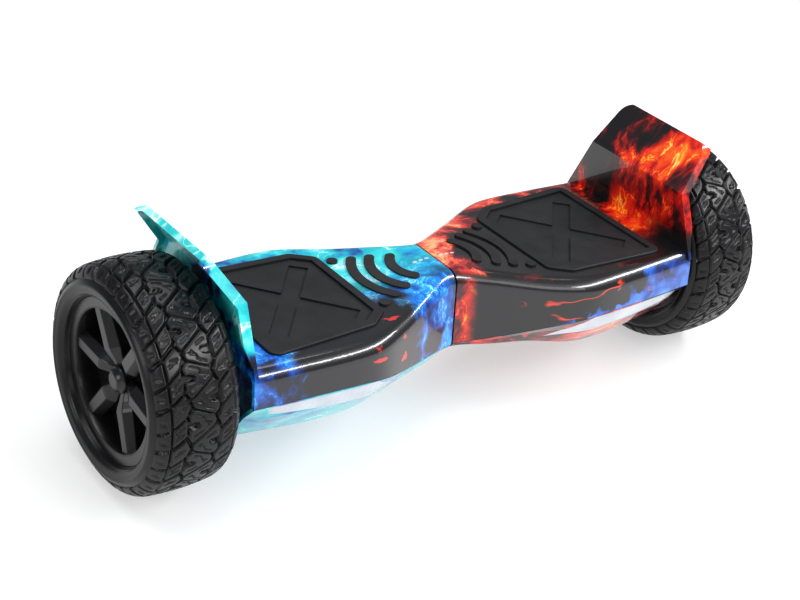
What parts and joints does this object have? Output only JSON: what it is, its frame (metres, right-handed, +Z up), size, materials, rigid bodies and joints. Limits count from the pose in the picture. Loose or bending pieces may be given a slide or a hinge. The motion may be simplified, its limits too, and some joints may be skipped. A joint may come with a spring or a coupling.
{
  "type": "self balancing hoverboard",
  "caption": "Two-wheeled self-balancing board: two printed half shells that twist at the waist, rubber foot pads, mudguards and hub-motor wheels with block-tread tyres.",
  "frame": {"origin": "on the ground, under the middle of the waist, where the tyres touch", "axes": "+X along the wheel axle from the blue half to the red half, -Y to the front with the lamps, +Z up"},
  "size_m": [0.73, 0.216, 0.247],
  "materials": {
    "shell_ice": "gloss printed ABS in ice blues, clear lacquer",
    "shell_fire": "gloss printed ABS in flame reds over black, clear lacquer",
    "lamp_lens": "milky translucent polycarbonate",
    "indicator_lens": "milky lens",
    "grip_rubber": "matt moulded rubber",
    "pad_rubber": "matt moulded rubber",
    "tyre": "satin black tread rubber",
    "rim_black": "satin black",
    "cap_black": "satin black moulding",
    "motor_cover_alloy": "dark cast, lightly machined",
    "cast_frame": "as cast",
    "machined_steel": "turned",
    "bearing_steel": "ground",
    "magnet_plate": "nickel plated",
    "motor_core": "laminated steel with copper coils",
    "steel_fasteners": "zinc plated",
    "bush_brass": "sintered",
    "circuit_board": "green solder mask",
    "black_plastic": "moulded",
    "white_plastic": "moulded nylon",
    "cable_sheath": "woven sleeve",
    "grommet_rubber": "soft",
    "battery_wrap": "blue wrap over a metal-cased pack of cells",
    "button_ring": "metallised plastic",
    "button_cap": "gloss red"
  },
  "bodies": {
    "left_half": {"left_top_cover": "shell_ice", "left_bottom_cover": "shell_ice", "left_lamp_lens": "lamp_lens", "left_lamp_strip": "circuit_board", "left_grip_strips": "grip_rubber", "left_grip_dots": "grip_rubber", "left_indicator_lenses": "indicator_lens", "left_bottom_cover_screws": "steel_fasteners", "left_top_cover_screws": "steel_fasteners", "left_chassis": "cast_frame", "left_axle_clamp": "cast_frame", "left_axle_clamp_bolts": "steel_fasteners", "left_gyro_board": "circuit_board", "left_pad_sensors": "black_plastic", "left_motor_axle": "machined_steel", "left_motor_stator": "motor_core", "left_harness_plug": "white_plastic", "pivot_shaft": "machined_steel", "pivot_pins": "steel_fasteners", "pivot_retaining_ring": "steel_fasteners", "harness_cable": "cable_sheath", "harness_grommets": "grommet_rubber", "main_board": "circuit_board", "power_button_housing": "button_ring", "charge_socket": "button_ring", "panel_nuts": "black_plastic"},
    "right_half": {"right_top_cover": "shell_fire", "right_bottom_cover": "shell_fire", "right_lamp_lens": "lamp_lens", "right_lamp_strip": "circuit_board", "right_grip_strips": "grip_rubber", "right_grip_dots": "grip_rubber", "right_indicator_lenses": "indicator_lens", "right_bottom_cover_screws": "steel_fasteners", "right_top_cover_screws": "steel_fasteners", "right_chassis": "cast_frame", "right_axle_clamp": "cast_frame", "right_axle_clamp_bolts": "steel_fasteners", "right_gyro_board": "circuit_board", "right_pad_sensors": "black_plastic", "right_motor_axle": "machined_steel", "right_motor_stator": "motor_core", "right_harness_plug": "white_plastic", "pivot_bushes": "bush_brass", "battery_pack": "battery_wrap"},
    "left_wheel": {"left_wheel_rim": "rim_black", "left_motor_cover": "motor_cover_alloy", "left_wheel_bearings": "bearing_steel", "left_motor_magnets": "magnet_plate", "left_tyre": "tyre", "left_wheel_cap": "cap_black"},
    "right_wheel": {"right_wheel_rim": "rim_black", "right_motor_cover": "motor_cover_alloy", "right_wheel_bearings": "bearing_steel", "right_motor_magnets": "magnet_plate", "right_tyre": "tyre", "right_wheel_cap": "cap_black"},
    "left_pad": {"left_foot_pad": "pad_rubber"},
    "right_pad": {"right_foot_pad": "pad_rubber"},
    "button": {"power_button": "button_cap"}
  },
  "joints": [
    {"name": "waist_twist", "type": "hinge", "parent": "left_half", "child": "right_half", "pos_m": [0, 0, 0.108], "axis": [1, 0, 0], "range_deg": [-10, 10]},
    {"name": "left_wheel_spin", "type": "hinge", "parent": "left_half", "child": "left_wheel", "pos_m": [-0.3205, 0, 0.108], "axis": [1, 0, 0], "continuous": true},
    {"name": "right_wheel_spin", "type": "hinge", "parent": "right_half", "child": "right_wheel", "pos_m": [0.3205, 0, 0.108], "axis": [1, 0, 0], "continuous": true},
    {"name": "left_pad_press", "type": "slide", "parent": "left_half", "child": "left_pad", "axis": [0, 0, -1], "range_m": [0, 0.0012], "stiffness_N_per_m": 9000},
    {"name": "right_pad_press", "type": "slide", "parent": "right_half", "child": "right_pad", "axis": [0, 0, -1], "range_m": [0, 0.0012], "stiffness_N_per_m": 9000},
    {"name": "power_button_press", "type": "slide", "parent": "left_half", "child": "button", "axis": [0, -1, 0], "range_m": [0, 0.001], "stiffness_N_per_m": 800}
  ]
}
